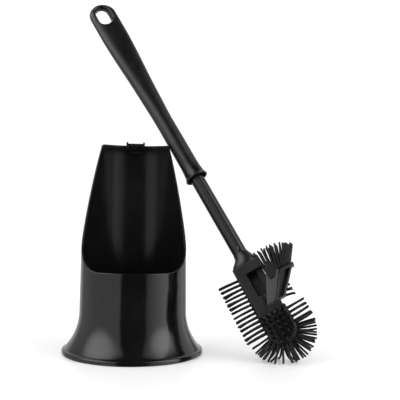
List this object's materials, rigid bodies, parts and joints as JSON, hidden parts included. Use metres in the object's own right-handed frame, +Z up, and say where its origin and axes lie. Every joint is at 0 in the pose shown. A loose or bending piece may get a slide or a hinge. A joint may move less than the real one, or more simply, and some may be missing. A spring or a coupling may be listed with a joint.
{
  "type": "toilet brush set",
  "caption": "Bell-footed toilet brush holder, open at the front with a tall curved back, and a long brush with a rim arm leaning beside it.",
  "frame": {"origin": "centre of the holder's round foot, on the floor", "axes": "+Z up the holder's axis; -Y out through the open front; the brush stands to the +X side"},
  "size_m": [0.2262, 0.1773, 0.3472],
  "materials": {
    "holder_gloss": "black polypropylene with a polished mould finish",
    "fork_gloss": "black polypropylene, gloss",
    "grip_satin": "black polypropylene, satin",
    "stem_satin": "black polypropylene, satin, lightly drawn along its length",
    "head_plastic": "black polypropylene, satin",
    "bristle_rubber": "black thermoplastic rubber, silky"
  },
  "bodies": {
    "holder": {"holder_shell": "holder_gloss", "base_dish": "holder_gloss", "stem_fork": "fork_gloss"},
    "handle": {"grip": "grip_satin"},
    "head": {"stem": "stem_satin", "neck_cap": "head_plastic", "head_core": "head_plastic", "left_bristles": "bristle_rubber", "right_bristles": "bristle_rubber", "rail_bristles": "bristle_rubber", "end_bristles": "bristle_rubber", "front_bristles": "bristle_rubber", "back_bristles": "bristle_rubber", "rim_arm": "head_plastic", "rim_bristles": "bristle_rubber"}
  },
  "joints": [
    {"name": "brush_lift", "type": "slide", "parent": "holder", "child": "handle", "axis": [0, 0, 1], "range_m": [0, 0.25]},
    {"name": "head_release", "type": "slide", "parent": "handle", "child": "head", "axis": [0.4453, -0.3858, -0.808], "range_m": [0, 0.045]}
  ]
}
